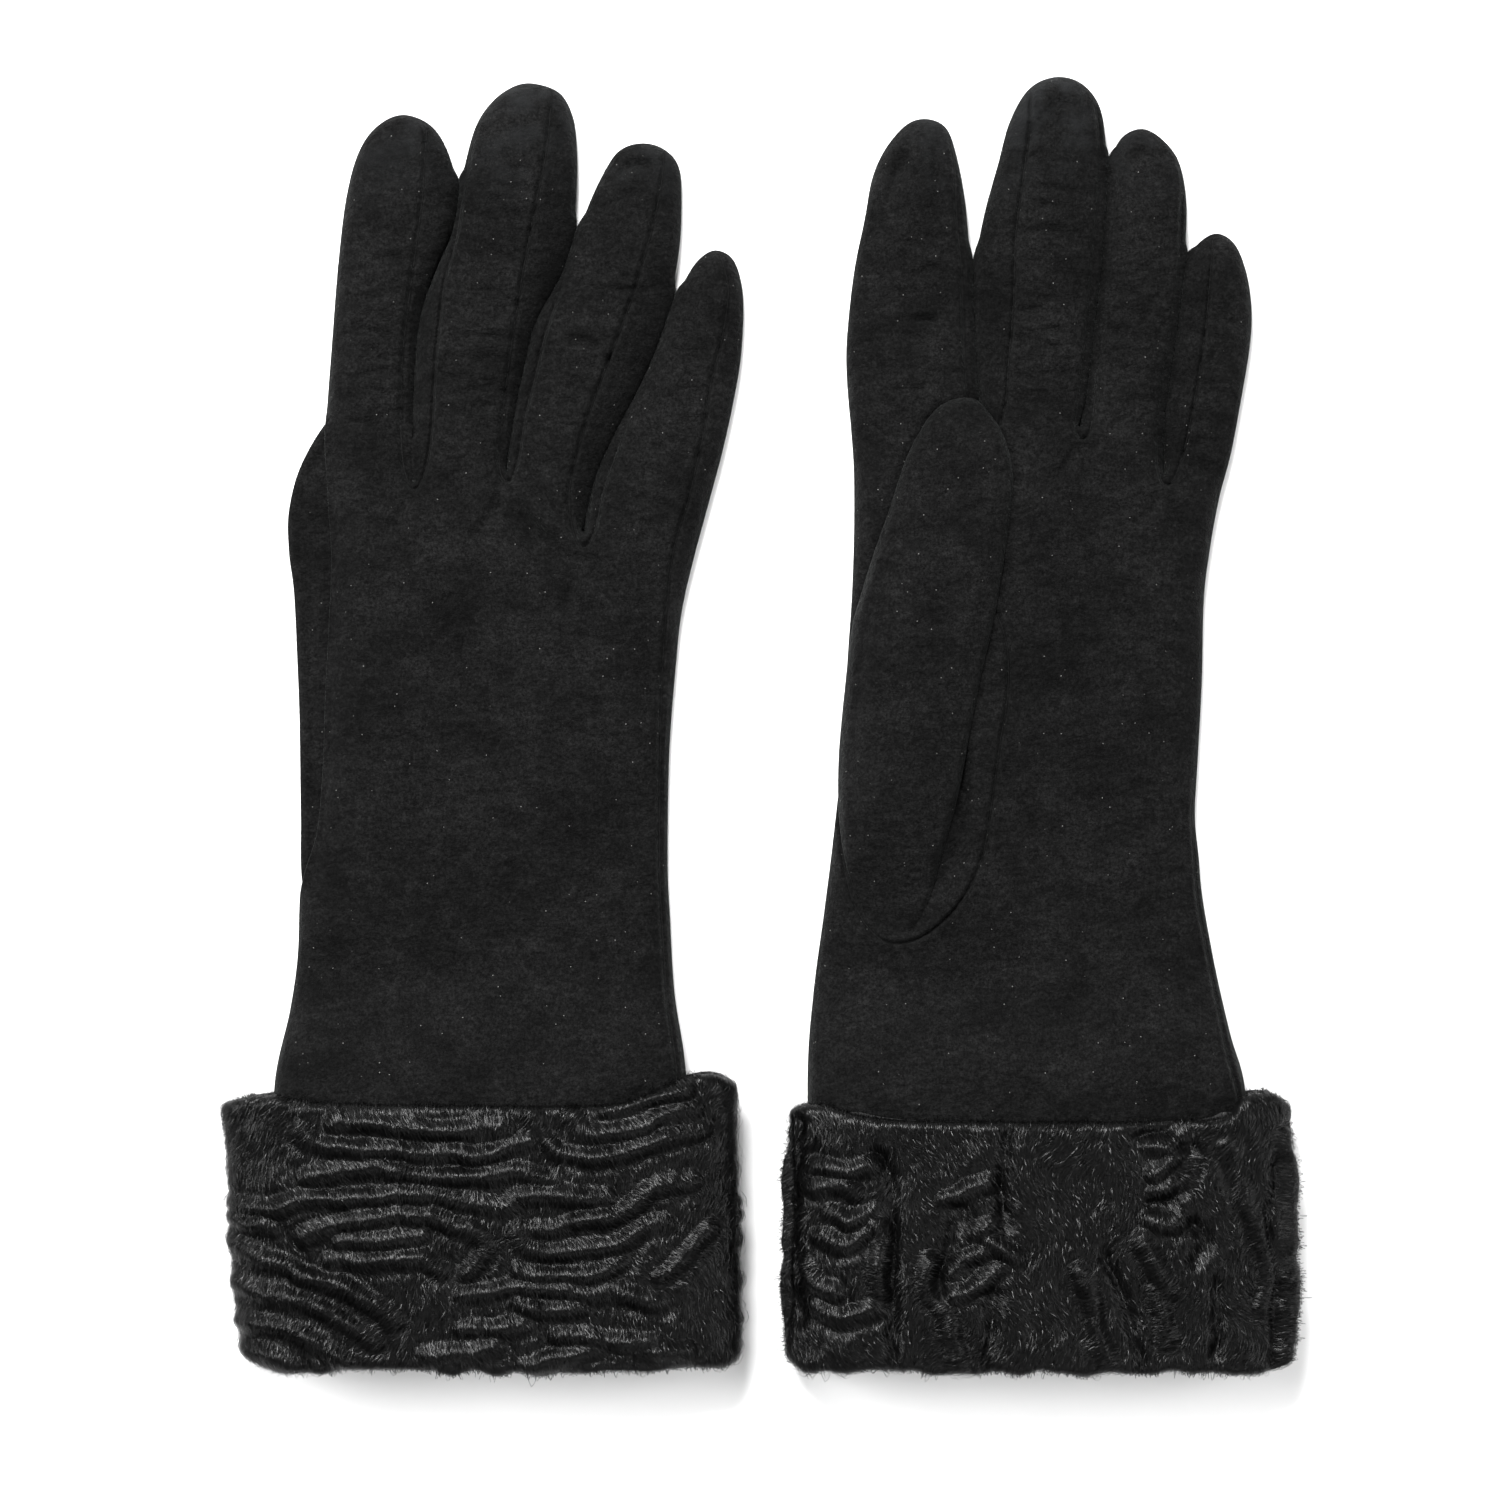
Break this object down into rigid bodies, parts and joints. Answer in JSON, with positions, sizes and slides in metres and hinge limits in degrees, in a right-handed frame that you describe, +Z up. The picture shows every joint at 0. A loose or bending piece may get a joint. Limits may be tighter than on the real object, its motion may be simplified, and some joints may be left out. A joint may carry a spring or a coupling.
{
  "type": "pair of long dress gloves",
  "caption": "Long black suede dress gloves with turned-back curly lamb-fur cuffs, lying flat side by side, one back up and one palm up.",
  "frame": {"origin": "middle of the pair's footprint, on the surface the gloves lie on", "axes": "+X across the pair from the right-hand glove to the left-hand glove, +Y from the cuffs to the fingertips, +Z up"},
  "size_m": [0.2328, 0.28, 0.0212],
  "materials": {
    "suede": "matte napped suede",
    "fourchette_suede": "matte napped suede, a shade darker",
    "lamb_fur": "short glossy wavy lamb fur",
    "facing_leather": "smooth dull lining leather"
  },
  "bodies": {
    "left_hand": {"left_back_panel": "suede", "left_palm_panel": "suede", "left_fork_index_middle": "fourchette_suede", "left_fork_middle_ring": "fourchette_suede", "left_fork_ring_little": "fourchette_suede", "left_thumb_gusset": "suede", "left_cuff_fur": "lamb_fur", "left_cuff_facing": "facing_leather", "left_cuff_hem": "facing_leather"},
    "left_index_end": {"left_index_back": "suede", "left_index_palm": "suede", "left_index_fourchette_middle_side": "fourchette_suede"},
    "left_middle_end": {"left_middle_back": "suede", "left_middle_palm": "suede", "left_middle_fourchette_index_side": "fourchette_suede", "left_middle_fourchette_ring_side": "fourchette_suede"},
    "left_ring_end": {"left_ring_back": "suede", "left_ring_palm": "suede", "left_ring_fourchette_middle_side": "fourchette_suede", "left_ring_fourchette_little_side": "fourchette_suede"},
    "left_little_end": {"left_little_back": "suede", "left_little_palm": "suede", "left_little_fourchette_ring_side": "fourchette_suede"},
    "left_thumb": {"left_thumb_outer": "suede", "left_thumb_inner": "suede"},
    "right_hand": {"right_back_panel": "suede", "right_palm_panel": "suede", "right_fork_index_middle": "fourchette_suede", "right_fork_middle_ring": "fourchette_suede", "right_fork_ring_little": "fourchette_suede", "right_thumb_gusset": "suede", "right_cuff_fur": "lamb_fur", "right_cuff_facing": "facing_leather", "right_cuff_hem": "facing_leather"},
    "right_index_end": {"right_index_back": "suede", "right_index_palm": "suede", "right_index_fourchette_middle_side": "fourchette_suede"},
    "right_middle_end": {"right_middle_back": "suede", "right_middle_palm": "suede", "right_middle_fourchette_index_side": "fourchette_suede", "right_middle_fourchette_ring_side": "fourchette_suede"},
    "right_ring_end": {"right_ring_back": "suede", "right_ring_palm": "suede", "right_ring_fourchette_middle_side": "fourchette_suede", "right_ring_fourchette_little_side": "fourchette_suede"},
    "right_little_end": {"right_little_back": "suede", "right_little_palm": "suede", "right_little_fourchette_ring_side": "fourchette_suede"},
    "right_thumb": {"right_thumb_outer": "suede", "right_thumb_inner": "suede"}
  },
  "joints": [
    {"name": "left_index_bend", "type": "hinge", "parent": "left_hand", "child": "left_index_end", "pos_m": [0.03333, 0.08181, 0.0124], "axis": [0.9998, -0.0193, 0], "range_deg": [0, 90]},
    {"name": "left_middle_bend", "type": "hinge", "parent": "left_hand", "child": "left_middle_end", "pos_m": [0.05972, 0.08558, 0.0124], "axis": [0.9959, -0.0904, 0], "range_deg": [0, 90]},
    {"name": "left_ring_bend", "type": "hinge", "parent": "left_hand", "child": "left_ring_end", "pos_m": [0.08019, 0.07776, 0.0124], "axis": [0.9961, -0.0884, 0], "range_deg": [0, 90]},
    {"name": "left_little_bend", "type": "hinge", "parent": "left_hand", "child": "left_little_end", "pos_m": [0.09607, 0.06911, 0.0124], "axis": [0.9931, -0.1171, 0], "range_deg": [0, 90]},
    {"name": "left_thumb_swing", "type": "hinge", "parent": "left_hand", "child": "left_thumb", "pos_m": [0.0346, 0.0175, 0.0094], "axis": [0, 0, 1], "range_deg": [0, 40]},
    {"name": "right_glove_lift", "type": "slide", "parent": "left_hand", "child": "right_hand", "axis": [0, 0, 1], "range_m": [0, 0.1]},
    {"name": "right_index_bend", "type": "hinge", "parent": "right_hand", "child": "right_index_end", "pos_m": [-0.0801, 0.08191, 0], "axis": [-0.9972, 0.0751, 0], "range_deg": [0, 90]},
    {"name": "right_middle_bend", "type": "hinge", "parent": "right_hand", "child": "right_middle_end", "pos_m": [-0.05725, 0.08557, 0], "axis": [-0.9848, 0.1738, 0], "range_deg": [0, 90]},
    {"name": "right_ring_bend", "type": "hinge", "parent": "right_hand", "child": "right_ring_end", "pos_m": [-0.03638, 0.07614, 0], "axis": [-0.9585, 0.2851, 0], "range_deg": [0, 90]},
    {"name": "right_little_bend", "type": "hinge", "parent": "right_hand", "child": "right_little_end", "pos_m": [-0.01815, 0.06581, 0], "axis": [-0.9674, 0.2534, 0], "range_deg": [0, 90]},
    {"name": "right_thumb_swing", "type": "hinge", "parent": "right_hand", "child": "right_thumb", "pos_m": [-0.0854, 0.0195, 0.003], "axis": [0, 0, 1], "range_deg": [0, 40]}
  ]
}
